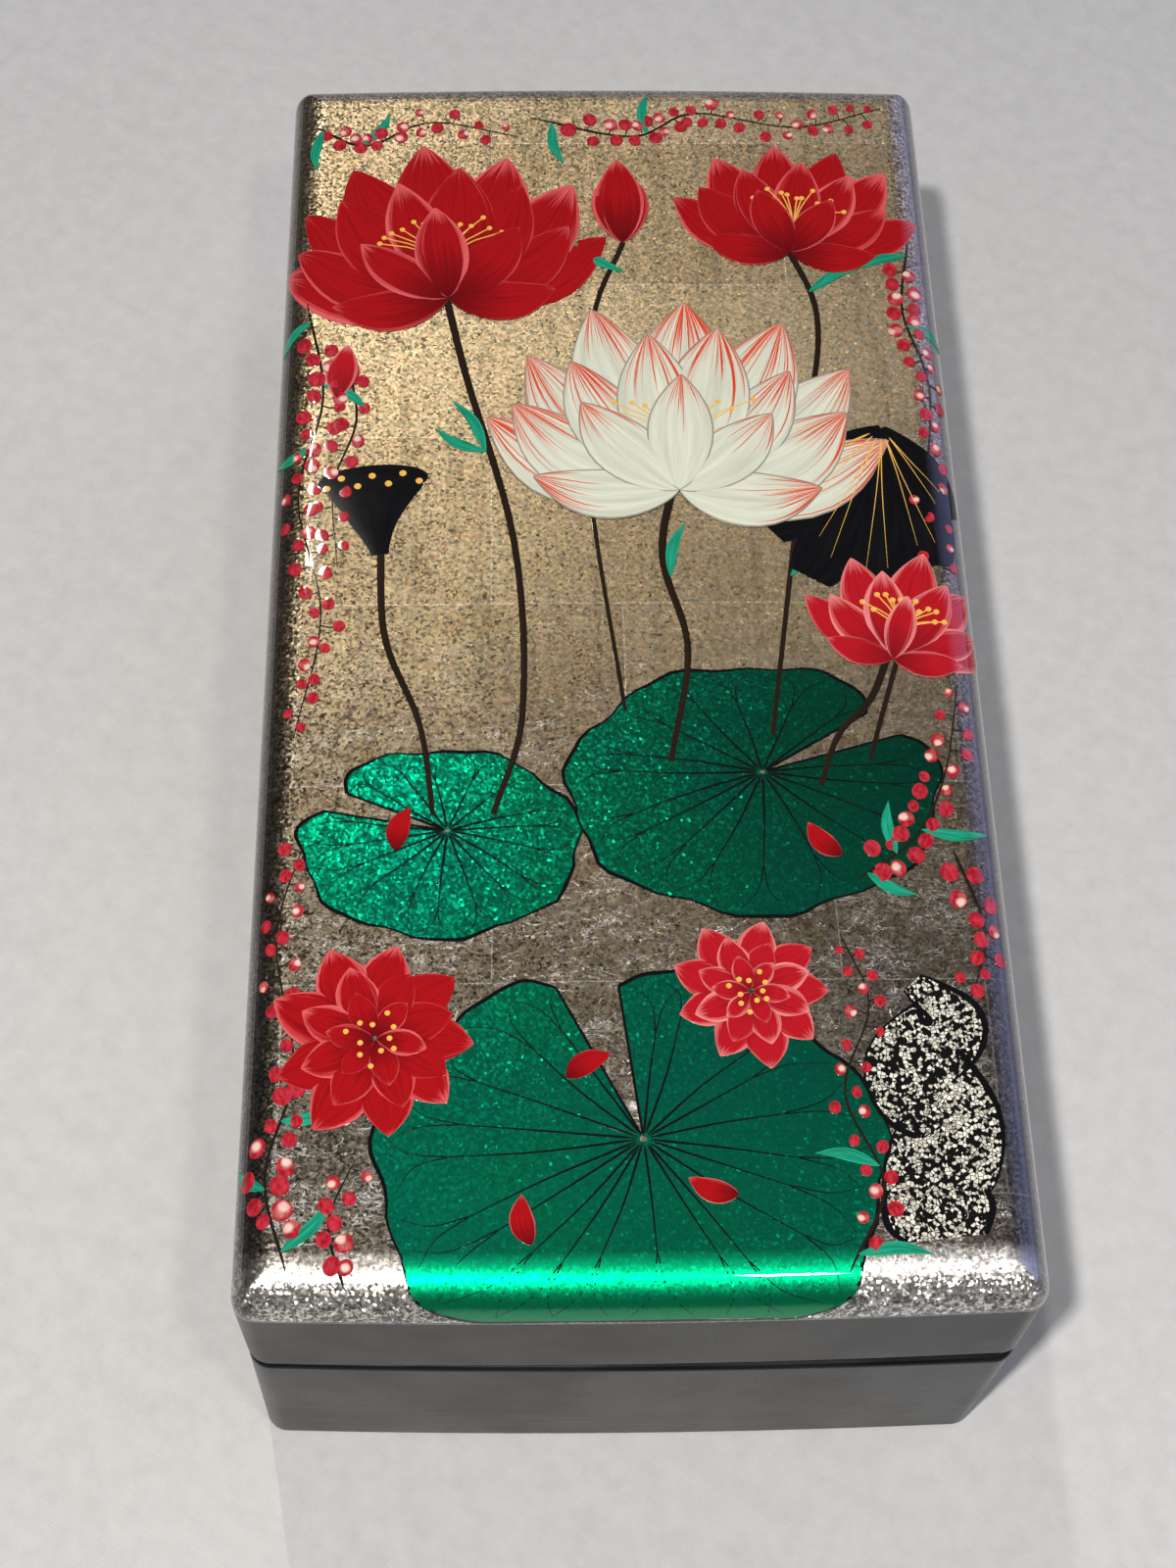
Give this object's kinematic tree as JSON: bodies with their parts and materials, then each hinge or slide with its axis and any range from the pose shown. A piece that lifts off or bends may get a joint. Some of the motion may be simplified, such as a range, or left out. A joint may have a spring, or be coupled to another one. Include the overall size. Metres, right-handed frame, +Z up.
{
  "type": "jewelry box",
  "caption": "Oblong lacquered wooden jewelry box with a leaf-gilded, picture-decorated lid hinged along one long side, velvet-lined compartments and a mirror under the lid.",
  "frame": {"origin": "middle of the underside, where the box rests", "axes": "+X across the box away from the hinges, +Y along the box to its back end, +Z up"},
  "size_m": [0.1007, 0.2026, 0.0622],
  "materials": {
    "black_lacquer": "rubbed black lacquer over wood, semi-gloss",
    "leafed_lacquer": "crinkled silver and gold-toned metal leaf under clear lacquer, painted and polished",
    "velvet_lining": "short-pile wine-red velvet on card and wadding",
    "mirror": "silvered glass with a narrow ground bevel",
    "brass_hinges": "stamped brass, lightly tarnished"
  },
  "bodies": {
    "base": {"base_front_board": "black_lacquer", "base_back_board": "black_lacquer", "base_left_board": "black_lacquer", "base_right_board": "black_lacquer", "base_bottom_board": "black_lacquer", "lining_left": "velvet_lining", "lining_right": "velvet_lining", "lining_front": "velvet_lining", "lining_back": "velvet_lining", "compartment_divider": "velvet_lining", "front_compartment_pad": "velvet_lining", "back_compartment_pad": "velvet_lining", "front_hinge_base_leaf": "brass_hinges", "front_hinge_pin": "brass_hinges", "front_hinge_base_screw_1": "brass_hinges", "front_hinge_base_screw_2": "brass_hinges", "back_hinge_base_leaf": "brass_hinges", "back_hinge_pin": "brass_hinges", "back_hinge_base_screw_1": "brass_hinges", "back_hinge_base_screw_2": "brass_hinges"},
    "lid": {"lid_front_rim": "black_lacquer", "lid_back_rim": "black_lacquer", "lid_left_rim": "black_lacquer", "lid_right_rim": "black_lacquer", "lid_top_board": "leafed_lacquer", "lid_liner": "velvet_lining", "lid_mirror": "mirror", "front_hinge_lid_leaf": "brass_hinges", "front_hinge_lid_screw_1": "brass_hinges", "front_hinge_lid_screw_2": "brass_hinges", "back_hinge_lid_leaf": "brass_hinges", "back_hinge_lid_screw_1": "brass_hinges", "back_hinge_lid_screw_2": "brass_hinges"}
  },
  "joints": [
    {"name": "lid_hinge", "type": "hinge", "parent": "base", "child": "lid", "pos_m": [-0.049, 0, 0.0346], "axis": [0, -1, 0], "range_deg": [0, 101]}
  ]
}
